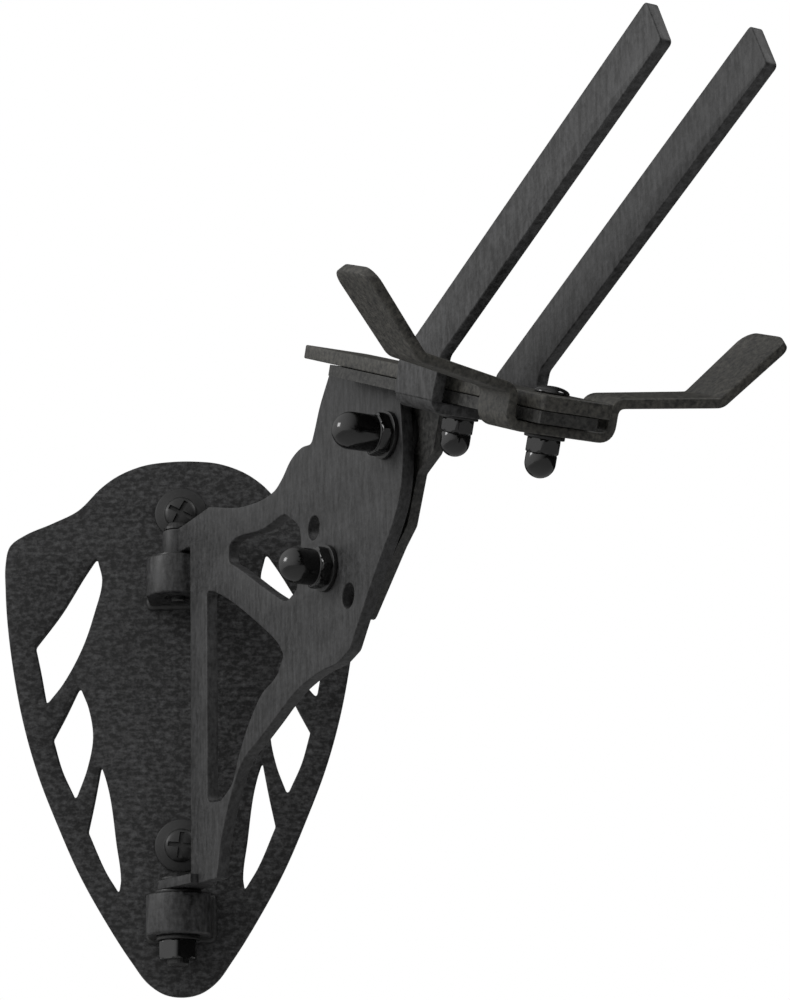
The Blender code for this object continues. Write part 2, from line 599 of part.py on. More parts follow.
# Bolts down through the head, each with a washer and a domed nut under the web
ear_low = WEB_LOW + SHEET_T / 2 - T / 2
for word, f, web_low, cut_objs in (("rear", BOLT_REAR_F, WEB_LOW, (skull, bracket, fork)),
                                   ("front", BOLT_FRONT_F, ear_low, (skull, bracket, ears))):
    place = at(0, f, plan)
    for other in cut_objs:
        cut = link("cut_%s_%s" % (word, other.name), prism(circle(0, f, TOP_BOLT_R + BOLT_FIT, 24), 0, 40, plan), None,
                   head, True)
        boolean(other, cut, "DIFFERENCE")
    top = SKULL_TOP + 0.12
    prof = [(0, web_low - 7.9), (TOP_BOLT_R - 0.4, web_low - 7.9), (TOP_BOLT_R, web_low - 7.4), (TOP_BOLT_R, top),
            (5.4, top), (5.4, top + 0.4), (4.8, top + 1.2), (3.2, top + 1.9), (1.5, top + 2.2), (0, top + 2.3)]
    link("top_bolt_" + word, lathe(prof, 24, place), GLOSS, head)
    link("top_washer_" + word, ring(TOP_BOLT_R + 0.1, 6.2, web_low - 1.3, web_low - 0.12, 28, place), WASHER_MAT, head)
    cap_nut("cap_nut_" + word, TOP_BOLT_R + 0.05, 10.0, web_low - 1.42, 4.2, 4.75, 7.8, -1, place, GLOSS, head)
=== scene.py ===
"""Looks of the bicycle wall rack: bevelled sheet steel, turned hardware and procedural coats on its frame."""
import json
import math

import bmesh
import bpy
from mathutils import Matrix, Vector


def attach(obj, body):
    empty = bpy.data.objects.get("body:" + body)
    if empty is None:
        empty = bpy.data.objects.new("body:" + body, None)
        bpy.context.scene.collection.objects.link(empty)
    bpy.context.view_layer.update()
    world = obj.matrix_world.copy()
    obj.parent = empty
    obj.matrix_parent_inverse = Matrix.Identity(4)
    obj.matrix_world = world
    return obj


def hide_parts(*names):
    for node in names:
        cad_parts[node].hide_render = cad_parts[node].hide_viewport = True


MM = 0.001
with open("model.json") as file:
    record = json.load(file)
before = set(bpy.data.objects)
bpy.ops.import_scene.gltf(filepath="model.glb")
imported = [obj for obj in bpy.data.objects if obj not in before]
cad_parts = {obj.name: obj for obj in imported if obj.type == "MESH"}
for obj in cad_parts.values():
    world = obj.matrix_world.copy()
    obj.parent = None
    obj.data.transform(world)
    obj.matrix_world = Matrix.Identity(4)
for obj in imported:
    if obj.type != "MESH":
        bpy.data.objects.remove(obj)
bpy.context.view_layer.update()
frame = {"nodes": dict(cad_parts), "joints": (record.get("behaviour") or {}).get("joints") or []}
NODES = frame["nodes"]
JOINTS = {joint["name"]: joint for joint in frame["joints"]}

# Driving dimensions, millimetres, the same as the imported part's
PLATE_T = 4.0
SCREW_Z = 63.75
SCREW_HEAD_R = 10.0
SCREW_HOLE_R = 3.4
KNUCKLE_R = 11.7
KNUCKLE_H = 14.8
KNUCKLE_UP_Z = 35.0
KNUCKLE_LOW_Z = -91.0
PIN_R = 3.0
STUD_R = 4.0
ARM_T = 4.5
PIVOT_G = 165.8
PIVOT_Z = 47.1
INDEX_R = 55.7
INDEX_DEG = (-160.0, -140.5, -121.0)
BOLT_R = 4.0
BOLT_HOLE_R = 4.2
BOLT_WASHER_R = 8.0
BOLT_NUT_FLATS = 13.0
TOP_BOLT_R = 3.0
TOP_HOLE_R = 3.2
TOP_WASHER_R = 6.2
TOP_NUT_FLATS = 10.0
HOOK_BOSS_R = 5.6
HOOK_TOP = 53.25
FOOT_R = 7.6
FOOT_T = 3.6
FOOT_END_OUT = 21.5
FOOT_END_HALF = 5.2
TILT_DEG = 21.7
SKULL_T = 4.6
SKULL_HALF = 12.3
SKULL_TOP = 24.2
SKULL_BACK = -51.0
SKULL_FRONT = 110.6
FLANGE_T = 3.7
SHEET_T = 3.5
LUG_W = 4.3
LUG_T = 3.7
BOLT_REAR_F = 41.0
BOLT_FRONT_F = 93.9
PRONG_OUT = 20.0
PRONG_T = 4.0
EAR_F0 = 84.8
EAR_F1 = 106.9
BEND_F0 = 87.0
RISER_F0 = 84.6
RISER_F1 = 102.4
EAR_T = 3.2
EAR_CORNER_R = 5.0
EAR_SOFT = 0.5
WING_FROM = 19.0
WING_OVER = 31.0
SWEEP_FROM = 50.0
SWEEP_OVER = 20.0
GAP = 0.25
SEAT = 0.12
EDGE = 0.45
ROUND_STEPS = 64

hinge_at = Vector(JOINTS["arm_swing"]["pos_m"])
tilt_axis = Vector(JOINTS["head_tilt"]["axis"])
WALL = Matrix.Identity(4)
FIXED = Matrix.Translation(hinge_at)
ARM = FIXED @ Matrix.Rotation(math.atan2(tilt_axis.y, tilt_axis.x), 4, "Z")
HEAD = (Matrix.Translation(Vector(JOINTS["head_tilt"]["pos_m"])) @ ARM.to_3x3().to_4x4()
        @ Matrix.Rotation(math.radians(TILT_DEG), 4, "X"))


# ---------------------------------------------------------------- materials
def node(tree, kind, **values):
    made = tree.nodes.new(kind)
    for key, value in values.items():
        if key in made.inputs:
            made.inputs[key].default_value = value
        else:
            setattr(made, key, value)
    return made


def ramp(tree, source, low, high, dark, light):
    made = tree.nodes.new("ShaderNodeMapRange")
    made.inputs["From Min"].default_value = low
    made.inputs["From Max"].default_value = high
    made.inputs["To Min"].default_value = dark
    made.inputs["To Max"].default_value = light
    tree.links.new(source, made.inputs["Value"])
    return made.outputs["Result"]


def coat(name, rgb, rough, grain, speckle, bump, metallic=0.0, spread=0.35, specular=0.5):
    """A coat with streaks along one direction, fine speckle, and worn variation in its roughness.

    grain is the streaks' scale per metre on each axis, speckle the fine noise's scale per metre."""
    mat = bpy.data.materials.new(name)
    mat.use_nodes = True
    tree = mat.node_tree
    shader = tree.nodes["Principled BSDF"]
    shader.inputs["Metallic"].default_value = metallic
    shader.inputs["Specular IOR Level"].default_value = specular
    coords = node(tree, "ShaderNodeTexCoord")
    stretch = node(tree, "ShaderNodeMapping")
    stretch.inputs["Scale"].default_value = grain
    tree.links.new(coords.outputs["Object"], stretch.inputs["Vector"])
    streaks = node(tree, "ShaderNodeTexNoise", Scale=1.0, Detail=4.0, Roughness=0.6)
    tree.links.new(stretch.outputs["Vector"], streaks.inputs["Vector"])
    fine = node(tree, "ShaderNodeTexNoise", Scale=speckle, Detail=3.0, Roughness=0.7)
    tree.links.new(coords.outputs["Object"], fine.inputs["Vector"])
    broad = node(tree, "ShaderNodeTexNoise", Scale=18.0, Detail=3.0)
    tree.links.new(coords.outputs["Object"], broad.inputs["Vector"])
    mix = node(tree, "ShaderNodeMath", operation="ADD")
    tree.links.new(ramp(tree, streaks.outputs["Fac"], 0.3, 0.7, -spread, spread), mix.inputs[0])
    tree.links.new(ramp(tree, fine.outputs["Fac"], 0.3, 0.7, 1 - spread, 1 + spread), mix.inputs[1])
    total = node(tree, "ShaderNodeMath", operation="ADD")
    tree.links.new(mix.outputs[0], total.inputs[0])
    tree.links.new(ramp(tree, broad.outputs["Fac"], 0.3, 0.7, -0.12, 0.12), total.inputs[1])
    colour = node(tree, "ShaderNodeVectorMath", operation="SCALE")
    colour.inputs[0].default_value = rgb
    kept = node(tree, "ShaderNodeMath", operation="MAXIMUM")
    kept.inputs[1].default_value = 0.15
    tree.links.new(total.outputs[0], kept.inputs[0])
    tree.links.new(kept.outputs[0], colour.inputs["Scale"])
    tree.links.new(colour.outputs[0], shader.inputs["Base Color"])
    tree.links.new(ramp(tree, fine.outputs["Fac"], 0.3, 0.7, rough - 0.07, rough + 0.09),
                   shader.inputs["Roughness"])
    height = node(tree, "ShaderNodeMath", operation="ADD")
    tree.links.new(streaks.outputs["Fac"], height.inputs[0])
    tree.links.new(fine.outputs["Fac"], height.inputs[1])
    relief = node(tree, "ShaderNodeBump", Strength=0.35, Distance=bump)
    tree.links.new(height.outputs[0], relief.inputs["Height"])
    tree.links.new(relief.outputs["Normal"], shader.inputs["Normal"])
    return mat


ISO = (700.0, 700.0, 700.0)
UPRIGHT = (560.0, 560.0, 120.0)
PLATE_COAT = coat("wall_plate_powder_coat", (0.0215, 0.0215, 0.022), 0.62, (300.0, 300.0, 700.0), 520.0,
                  0.0005, spread=1.5, specular=0.4)
ARM_COAT = coat("arm_brushed_coat", (0.0240, 0.0240, 0.0245), 0.55, UPRIGHT, 600.0, 0.0002, spread=0.75)
PRONG_COAT = coat("prong_brushed_coat", (0.0270, 0.0270, 0.0275), 0.52, UPRIGHT, 600.0, 0.00025, spread=0.95)
EAR_COAT = coat("ear_warm_coat", (0.046, 0.044, 0.038), 0.5, ISO, 600.0, 0.0002, spread=0.65)
SKULL_COAT = coat("skull_warm_coat", (0.046, 0.044, 0.038), 0.52, ISO, 600.0, 0.0002, spread=0.65)
BRACKET_COAT = coat("bracket_coat", (0.027, 0.0265, 0.0245), 0.55, ISO, 520.0, 0.0002, spread=0.8)
KNUCKLE_COAT = coat("knuckle_coat", (0.024, 0.024, 0.0245), 0.5, UPRIGHT, 560.0, 0.0003, spread=0.9)
GLOSS = coat("gloss_black_cap", (0.003, 0.003, 0.003), 0.13, ISO, 300.0, 0.00001, spread=0.1, specular=0.7)
SCREW_COAT = coat("screw_black_oxide", (0.008, 0.008, 0.008), 0.42, ISO, 700.0, 0.00004, spread=0.3)
WASHER_COAT = coat("washer_black_oxide", (0.006, 0.006, 0.006), 0.38, ISO, 600.0, 0.00003, spread=0.25)
STEEL = coat("pin_dark_steel", (0.05, 0.05, 0.05), 0.36, (200.0, 200.0, 2500.0), 700.0, 0.00003, metallic=0.9,
             spread=0.2)
WELD = coat("weld_bead_coat", (0.016, 0.016, 0.016), 0.5, ISO, 600.0, 0.0002, spread=0.3)


# ---------------------------------------------------------------- mesh helpers
def rounded(points, radii, steps=8):
    """The polygon with each corner rounded. radii is one number or one for each corner."""
    count = len(points)
    if not isinstance(radii, (list, tuple)):
        radii = [radii] * count
    out = []
    for i in range(count):
        p = Vector(points[i])
        a = Vector(points[i - 1]) - p
        b = Vector(points[(i + 1) % count]) - p
        r = radii[i]
        cos = max(-1.0, min(1.0, a.normalized().dot(b.normalized())))
        angle = math.acos(cos)
        if r <= 0 or angle > math.radians(176):
            out.append((p.x, p.y))
            continue
        reach = min(r / math.tan(angle / 2), 0.45 * a.length, 0.45 * b.length)
        start = p + a.normalized() * reach
        end = p + b.normalized() * reach
        for k in range(steps + 1):
            t = k / steps
            q = start * (1 - t) ** 2 + p * 2 * t * (1 - t) + end * t ** 2
            out.append((q.x, q.y))
    return out


def flowing(points, corners, steps, arc):
    """A closed outline, smooth through its points. corners maps a point's number to its corner radius."""
    spots_in, spots_out = [], []
    count = len(points)
    line = [Vector(p) for p in points]
    for i, p in enumerate(line):
        before = line[i - 1] - p
        after = line[(i + 1) % count] - p
        if i in corners:
            angle = before.angle(after)
            reach = min(corners[i] / math.tan(angle / 2), 0.4 * before.length, 0.4 * after.length)
            spots_in.append((p + before.normalized() * reach, -before.normalized()))
            spots_out.append((p + after.normalized() * reach, after.normalized()))
        else:
            along = (after.normalized() - before.normalized()).normalized()
            spots_in.append((p, along))
            spots_out.append((p, along))
    out = []
    for i, p in enumerate(line):
        start, leave = spots_out[i]
        end, arrive = spots_in[(i + 1) % count]
        if i in corners:
            for k in range(arc):
                t = k / arc
                out.append(spots_in[i][0] * (1 - t) ** 2 + p * 2 * t * (1 - t) + start * t ** 2)
        pull = (end - start).length
        for k in range(steps):
            t = k / steps
            out.append(start * (2 * t ** 3 - 3 * t ** 2 + 1) + leave * pull * (t ** 3 - 2 * t ** 2 + t)
                       + end * (3 * t ** 2 - 2 * t ** 3) + arrive * pull * (t ** 3 - t ** 2))
    return [(q.x, q.y) for q in out]


def circle(cu, cv, r, n=48):
    turns = [2 * math.pi * k / n for k in range(n)]
    return [(cu + r * math.cos(t), cv + r * math.sin(t)) for t in turns]


def finish_piece(name, mesh, place, body, mat, replaces, smooth_deg=38):
    obj = bpy.data.objects.new(name, mesh)
    bpy.context.scene.collection.objects.link(obj)
    mesh.materials.clear()
    mesh.materials.append(mat)
    mesh.transform(place)
    mesh.shade_smooth()
    mesh.set_sharp_from_angle(angle=math.radians(smooth_deg))
    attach(obj, body)
    if replaces:
        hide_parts(replaces)
    return obj


# Each basis turns flat coordinates (u, v) and a height into local X, Y, Z. SIDE is the arm's plane, ACROSS is
# parallel to the wall and PLAN is parallel to the ground.
SIDE = Matrix(((0, 0, 1, 0), (-1, 0, 0, 0), (0, 1, 0, 0), (0, 0, 0, 1)))
ACROSS = Matrix(((1, 0, 0, 0), (0, 0, -1, 0), (0, 1, 0, 0), (0, 0, 0, 1)))
PLAN = Matrix(((1, 0, 0, 0), (0, -1, 0, 0), (0, 0, 1, 0), (0, 0, 0, 1)))


def seated(basis, centre, place):
    """The matrix that puts a body, turned about its height axis, over a centre in one of the flat planes."""
    spot = basis.to_3x3() @ Vector((centre[0] * MM, centre[1] * MM, 0))
    return place @ Matrix.Translation(spot) @ basis.to_4x4()


def sheet(name, outlines, low, high, basis, place, body, mat, replaces, edge=EDGE):
    """A flat sheet with holes and softly rounded edges: the first outline is its edge, the rest are holes."""
    curve = bpy.data.curves.new(name + "_curve", "CURVE")
    curve.dimensions = "2D"
    curve.fill_mode = "BOTH"
    for outline in outlines:
        spline = curve.splines.new("POLY")
        spline.points.add(len(outline) - 1)
        for point, (u, v) in zip(spline.points, outline):
            point.co = (u * MM, v * MM, 0, 1)
        spline.use_cyclic_u = True
    curve.extrude = ((high - low) / 2 - edge) * MM
    curve.bevel_depth = edge * MM
    curve.bevel_resolution = 2
    curve.offset = -edge * MM
    temp = bpy.data.objects.new(name + "_temp", curve)
    bpy.context.scene.collection.objects.link(temp)
    bpy.context.view_layer.update()
    graph = bpy.context.evaluated_depsgraph_get()
    mesh = bpy.data.meshes.new_from_object(temp.evaluated_get(graph))
    bpy.data.objects.remove(temp)
    bm = bmesh.new()
    bm.from_mesh(mesh)
    bmesh.ops.remove_doubles(bm, verts=bm.verts, dist=1e-6)
    bmesh.ops.recalc_face_normals(bm, faces=bm.faces)
    bm.to_mesh(mesh)
    bm.free()
    mesh.name = name
    mesh.transform(Matrix.Translation((0, 0, (low + high) / 2 * MM)))
    whole = place @ basis.to_4x4()
    if whole.determinant() < 0:
        mesh.flip_normals()
    return finish_piece(name, mesh, whole, body, mat, replaces)


def loft(name, loops, closed_loops, place, body, mat, replaces, smooth_deg=38):
    """Joins rings of points, in millimetres, into one skin. A ring of one point closes an end."""
    bm = bmesh.new()
    rings = [[bm.verts.new(Vector(p) * MM) for p in ring] for ring in loops]
    pairs = list(zip(rings, rings[1:]))
    if closed_loops:
        pairs.append((rings[-1], rings[0]))
    for a, b in pairs:
        n = max(len(a), len(b))
        for i in range(n):
            j = (i + 1) % n
            if len(a) == 1:
                bm.faces.new((a[0], b[j], b[i]))
            elif len(b) == 1:
                bm.faces.new((a[i], a[j], b[0]))
            else:
                bm.faces.new((a[i], a[j], b[j], b[i]))
    if not closed_loops:
        for ring in (rings[0], rings[-1]):
            if len(ring) > 2:
                bm.faces.new(ring)
    bmesh.ops.recalc_face_normals(bm, faces=bm.faces)
    mesh = bpy.data.meshes.new(name)
    bm.to_mesh(mesh)
    bm.free()
    return finish_piece(name, mesh, place, body, mat, replaces, smooth_deg)


def turned(name, profile, basis, centre, place, body, mat, replaces, flats=0.0, hexed=()):
    """A turned body from (radius, height) points. Rows in hexed are cut back to a hexagon across flats."""
    loops = []
    for row, (r, h) in enumerate(profile):
        if r <= 1e-6:
            loops.append([(0, 0, h)])
            continue
        loop = []
        for k in range(ROUND_STEPS):
            t = 2 * math.pi * k / ROUND_STEPS
            rad = r
            if row in hexed:
                part = (t % (math.pi / 3)) - math.pi / 6
                rad = min(r, flats / 2 / math.cos(part))
            loop.append((rad * math.cos(t), rad * math.sin(t), h))
        loops.append(loop)
    return loft(name, loops, False, seated(basis, centre, place), body, mat, replaces, 32)


def washer(name, inner, outer, low, high, basis, centre, place, body):
    """A washer whose outer rim is rounded."""
    soft = 0.25
    rows = [(inner, low), (outer - soft, low), (outer - soft * 0.3, low + soft * 0.3), (outer, low + soft),
            (outer, high - soft), (outer - soft * 0.3, high - soft * 0.3), (outer - soft, high),
            (inner, high)]
    loops = [[(u, v, h) for u, v in circle(0, 0, r, ROUND_STEPS)] for r, h in rows]
    return loft(name + "_piece", loops, True, seated(basis, centre, place), body, WASHER_COAT, name,
                32)


def cap_nut(name, bore, flats, base, hex_h, dome_r, dome_h, basis, centre, place, body):
    """A domed nut that points down its axis: chamfered hexagon, short neck, straight cap, round end."""
    corner = flats / 2 / math.cos(math.pi / 6)
    rows = [(0, base - 1.0), (bore, base - 1.0), (bore, base), (corner * 0.90, base),
            (corner * 0.96, base - 0.25), (corner, base - 0.8), (corner, base - hex_h + 0.9),
            (corner * 0.95, base - hex_h + 0.3), (corner * 0.88, base - hex_h),
            (dome_r + 0.15, base - hex_h - 0.05), (dome_r - 0.15, base - hex_h - 0.35),
            (dome_r, base - hex_h - 0.8)]
    straight = dome_h - dome_r
    for k in range(12):
        t = math.pi / 2 * k / 12
        rows.append((dome_r * math.cos(t), base - hex_h - straight - dome_r * math.sin(t)))
    rows.append((0, base - hex_h - dome_h))
    return turned(name + "_piece", rows, basis, centre, place, body, GLOSS, name, flats=flats,
                  hexed=(3, 4, 5, 6, 7, 8))


def bent_strip(line, thick):
    """The closed section of a bent sheet from its centre line."""
    left, right = [], []
    for i, p in enumerate(line):
        p = Vector(p)
        before = Vector(line[max(0, i - 1)])
        after = Vector(line[min(len(line) - 1, i + 1)])
        along = (after - before).normalized()
        normal = Vector((-along.y, along.x))
        left.append(tuple(p + normal * thick / 2))
        right.append(tuple(p - normal * thick / 2))
    return left + list(reversed(right))


def open_rounded(points, radius, steps=8):
    """An open line with rounded bends."""
    out = [points[0]]
    for i in range(1, len(points) - 1):
        p = Vector(points[i])
        a = Vector(points[i - 1]) - p
        b = Vector(points[i + 1]) - p
        angle = a.angle(b)
        reach = min(radius / math.tan(angle / 2), 0.47 * a.length, 0.47 * b.length)
        start = p + a.normalized() * reach
        end = p + b.normalized() * reach
        for k in range(steps + 1):
            t = k / steps
            out.append(tuple(start * (1 - t) ** 2 + p * 2 * t * (1 - t) + end * t ** 2))
    out.append(points[-1])
    return out


def domed(radius, base, height):
    """Rows of a round head's dome, from just above its rim to just under its top."""
    angles = [math.pi / 2 * k / 10 for k in range(1, 10)]
    return [(radius * math.cos(t), base + height * math.sin(t)) for t in angles]


def bevelled(name, mat, width=0.35):
    """Keeps a CAD node, softens its edges and gives it a finish."""
    obj = NODES[name]
    obj.data.materials.clear()
    obj.data.materials.append(mat)
    weld = obj.modifiers.new("weld", "WELD")
    weld.merge_threshold = 0.00001
    bevel = obj.modifiers.new("bevel", "BEVEL")
    bevel.width = width * MM
    bevel.segments = 2
    bevel.limit_method = "ANGLE"
    bevel.angle_limit = math.radians(35)
    bevel.use_clamp_overlap = True
    return obj


# ---------------------------------------------------------------- wall plate
# Half of the shield's outline from its top to its tip, and the slots of one side with their corner radii
half = [
    (5.0, 84.6), (14.5, 83.4), (23.9, 79.8), (30.4, 75.3), (39.6, 66.2), (49.0, 61.6), (60.4, 56.8),
    (65.6, 52.8), (67.2, 46.0), (67.1, 36.0), (66.1, 22.0), (63.4, 2.5), (59.4, -17.0), (53.8, -36.0),
    (46.3, -55.0), (37.8, -74.0), (27.2, -92.8), (18.4, -106.4), (12.0, -114.6), (5.0, -118.6),
]
feathers = [
    ([(32.2, 48.0), (37.3, 40.2), (45.6, 26.4), (55.5, 13.2), (53.5, 4.0), (51.0, -9.3), (44.9, -1.5),
      (37.6, 12.2), (33.0, 26.0), (30.2, 38.5)], {0: 1.0, 3: 2.0, 5: 1.0}),
    ([(38.4, -2.2), (43.7, -13.4), (48.4, -22.4), (45.0, -34.0), (39.6, -45.8), (35.4, -34.0), (33.3, -22.0),
      (35.0, -11.0)], {0: 1.0, 2: 2.0, 4: 1.0}),
    ([(30.2, -32.6), (32.6, -46.0), (35.0, -57.6), (28.4, -72.5), (23.2, -81.0), (22.6, -76.0), (24.4, -61.8),
      (26.6, -45.6), (28.4, -38.0)], {0: 0.8, 2: 2.0, 4: 0.8}),
]
plate_lines = [flowing(half + [(-x, z) for x, z in reversed(half)], {}, 8, 1)]
for shape, corners in feathers:
    for sign in (1, -1):
        plate_lines.append(flowing([(sign * x, z) for x, z in shape], corners, 6, 5))
for z in (SCREW_Z, -SCREW_Z):
    plate_lines.append(circle(0, z, SCREW_HOLE_R))
sheet("wall_plate_piece", plate_lines, 0.02, PLATE_T, ACROSS, WALL, "root", PLATE_COAT, "wall_plate")

# Screws with a rounded washer head and a crossed recess
for name, z, turn in (("wall_screw_upper", SCREW_Z, 0.5), ("wall_screw_lower", -SCREW_Z, 0.12)):
    front = PLATE_T + SEAT
    rows = [(0, 0.3), (2.5, 0.3), (3.1, 0.9), (3.1, front), (9.5, front), (9.85, front + 0.15),
            (SCREW_HEAD_R, front + 0.45), (9.8, front + 0.85), (9.2, front + 1.1), (6.7, front + 1.35),
            (6.3, front + 1.5), (6.0, front + 2.1), (5.4, front + 2.6), (4.4, front + 3.0),
            (2.6, front + 3.4), (0, front + 3.5)]
    screw = turned(name + "_piece", rows, ACROSS, (0, z), WALL, "root", SCREW_COAT, name)
    for k in (0, 1):
        bm = bmesh.new()
        bmesh.ops.create_cube(bm, size=1.0)
        bar = bpy.data.meshes.new("recess")
        bm.to_mesh(bar)
        bm.free()
        turn_k = Matrix.Rotation(turn + k * math.pi / 2, 4, "Y")
        size = Matrix.Diagonal((9.6 * MM, 4.0 * MM, 1.7 * MM, 1.0))
        bar.transform(Matrix.Translation((0, -(front + 3.6) * MM, z * MM)) @ turn_k @ size)
        cutter = bpy.data.objects.new("recess_%s_%d" % (name, k), bar)
        bpy.context.scene.collection.objects.link(cutter)
        mod = screw.modifiers.new("recess%d" % k, "BOOLEAN")
        mod.object = cutter
        mod.solver = "EXACT"
        graph = bpy.context.evaluated_depsgraph_get()
        cut_mesh = bpy.data.meshes.new_from_object(screw.evaluated_get(graph))
        screw.modifiers.clear()
        screw.data = cut_mesh
        bpy.data.objects.remove(cutter)

# ---------------------------------------------------------------- knuckles, with a weld bead at the plate
back = -(PLATE_T + 0.1) - hinge_at.y / MM
arc = [(KNUCKLE_R * math.cos(math.pi * k / 40), KNUCKLE_R * math.sin(math.pi * k / 40)) for k in range(41)]
for name, z, r in (("hinge_knuckle_upper", KNUCKLE_UP_Z, PIN_R),
                   ("hinge_knuckle_lower", KNUCKLE_LOW_Z, STUD_R)):
    low, high = z - KNUCKLE_H / 2, z + KNUCKLE_H / 2
    shape = [(-KNUCKLE_R, -back), (KNUCKLE_R, -back)] + arc
    sheet(name + "_piece", [shape, circle(0, 0, r + 1.55)], low, high, PLAN, FIXED, "root", KNUCKLE_COAT,
          name, 0.8)
    bead = []
    steps = 14
    box = [(-KNUCKLE_R, low), (KNUCKLE_R, low), (KNUCKLE_R, high), (-KNUCKLE_R, high)]
    path = []
    for i in range(4):
        a = Vector(box[i])
        b = Vector(box[(i + 1) % 4])
        path += [a.lerp(b, k / steps) for k in range(steps)]
    for k, p in enumerate(path):
        ahead = path[(k + 1) % len(path)] - path[k - 1]
        out = Vector((ahead.y, -ahead.x)).normalized()
        swell = 1.5 + 0.22 * math.sin(k * 2.1)
        centre = Vector((p.x, -(PLATE_T + 0.15), p.y))
        ring = []
        for m in range(9):
            t = math.pi / 2 * m / 8
            ring.append((centre.x + out.x * swell * math.cos(t), centre.y - swell * math.sin(t),
                         centre.z + out.y * swell * math.cos(t)))
        ring.append((centre.x - out.x * 0.5, centre.y - swell, centre.z - out.y * 0.5))
        ring.append((centre.x - out.x * 0.5, centre.y, centre.z - out.y * 0.5))
        bead.append(ring)
    loft("weld_bead_" + name[-5:], bead, True, WALL, "root", WELD, None, 60)
for name in ("hinge_bush_upper", "hinge_bush_lower"):
    bevelled(name, STEEL, 0.15)

# ---------------------------------------------------------------- arm
HOOK_LOW = KNUCKLE_UP_Z + KNUCKLE_H / 2 + 1.5
FOOT_LOW = KNUCKLE_LOW_Z + KNUCKLE_H / 2 + 1.5
# The arm's outline and windows: distance out from the hinge axis, and height
arm_pts = [
    (0.0, HOOK_LOW), (0.0, 53.2), (8.0, 53.3), (31.5, 55.2), (60.0, 48.6), (84.0, 48.4), (90.0, 51.2),
    (97.0, 56.4), (104.8, 58.8), (112.6, 58.3), (115.3, 63.0), (118.8, 69.5), (126.4, 79.55),
    (174.25, 60.35), (174.9, 54.0), (175.2, 33.6), (172.4, 23.6), (168.0, 16.8), (156.3, 3.8),
    (145.6, -9.0), (137.6, -19.2), (128.4, -22.0), (117.8, -22.5), (108.3, -23.9), (98.7, -26.2),
    (90.5, -29.4), (81.3, -33.6), (71.5, -37.8), (58.0, -43.6), (50.3, -51.6), (45.0, -60.0),
    (40.1, -70.0), (36.7, FOOT_LOW), (15.5, FOOT_LOW), (15.5, HOOK_LOW),
]
arm_corners = {0: 0.01, 1: 0.5, 2: 6, 3: 3, 9: 3, 12: 1.5, 13: 1.5, 20: 4, 32: 0.8, 33: 0.8, 34: 1.5}
window_a_corners = {0: 7, 3: 3, 4: 3.5, 8: 6}
window_b_corners = {0: 3, 4: 3, 10: 3, 11: 3}
window_a = [(92.0, 38.4), (75.2, 36.6), (52.9, 38.2), (48.2, 37.2), (47.6, 30.7), (54.3, 27.4), (86.2, 9.6),
            (92.2, 7.0), (101.0, 9.1), (103.0, 30.1)]
window_b = [(29.6, 24.0), (35.5, 22.4), (73.7, 1.5), (86.5, -7.5), (90.2, -11.9), (84.8, -17.6),
            (72.4, -22.6), (62.1, -31.8), (54.9, -40.9), (49.1, -50.3), (40.2, -54.9), (29.4, -54.0)]
spots = [(PIVOT_G, PIVOT_Z)]
for deg in INDEX_DEG:
    t = math.radians(deg)
    spots.append((PIVOT_G + INDEX_R * math.cos(t), PIVOT_Z + INDEX_R * math.sin(t)))
arm_lines = [flowing(arm_pts, arm_corners, 7, 6), flowing(window_a, window_a_corners, 7, 8),
             flowing(window_b, window_b_corners, 7, 8)]
arm_lines += [circle(g, z, BOLT_HOLE_R) for g, z in spots]
sheet("arm_plate_piece", arm_lines, -ARM_T / 2, ARM_T / 2, SIDE, ARM, "arm", ARM_COAT, "arm_plate")
sheet("arm_hook_boss_piece", [circle(0, 0, HOOK_BOSS_R), circle(0, 0, PIN_R + 0.05)], HOOK_LOW, HOOK_TOP,
      PLAN, ARM, "arm", ARM_COAT, None)
foot_line = [(FOOT_R * math.cos(math.pi + math.pi * k / 24), FOOT_R * math.sin(math.pi + math.pi * k / 24))
             for k in range(25)] + [(FOOT_END_HALF, FOOT_END_OUT), (-FOOT_END_HALF, FOOT_END_OUT)]
sheet("arm_foot_piece", [foot_line, circle(0, 0, STUD_R + 0.05)], FOOT_LOW, FOOT_LOW + FOOT_T, PLAN, ARM,
      "arm", ARM_COAT, None)

bevelled("hinge_pin_upper", STEEL, 0.15)
bevelled("hinge_stud_lower", STEEL, 0.15)
LOW = KNUCKLE_LOW_Z - KNUCKLE_H / 2
washer("thrust_washer_upper", PIN_R + 0.2, 8.4, KNUCKLE_UP_Z + KNUCKLE_H / 2 + 0.15, HOOK_LOW - 0.15,
       PLAN, (0, 0), ARM, "arm")
washer("thrust_washer_lower", STUD_R + 0.2, 9.0, KNUCKLE_LOW_Z + KNUCKLE_H / 2 + 0.15, FOOT_LOW - 0.15,
       PLAN, (0, 0), ARM, "arm")
washer("hinge_washer", STUD_R + 0.15, 8.0, LOW - 1.75, LOW - 0.15, PLAN, (0, 0), ARM, "arm")
corner = BOLT_NUT_FLATS / 2 / math.cos(math.pi / 6)
nut_rows = [(0, LOW - 8.5), (STUD_R + 0.05, LOW - 8.5), (STUD_R + 0.3, LOW - 8.6), (corner * 0.9, LOW - 8.6),
            (corner * 0.96, LOW - 8.3), (corner, LOW - 7.8), (corner, LOW - 2.7), (corner * 0.96, LOW - 2.2),
            (corner * 0.9, LOW - 1.9), (0, LOW - 1.9)]
turned("hinge_nut_piece", nut_rows, PLAN, (0, 0), ARM, "arm", GLOSS, "hinge_nut",
       flats=BOLT_NUT_FLATS, hexed=(3, 4, 5, 6, 7, 8))

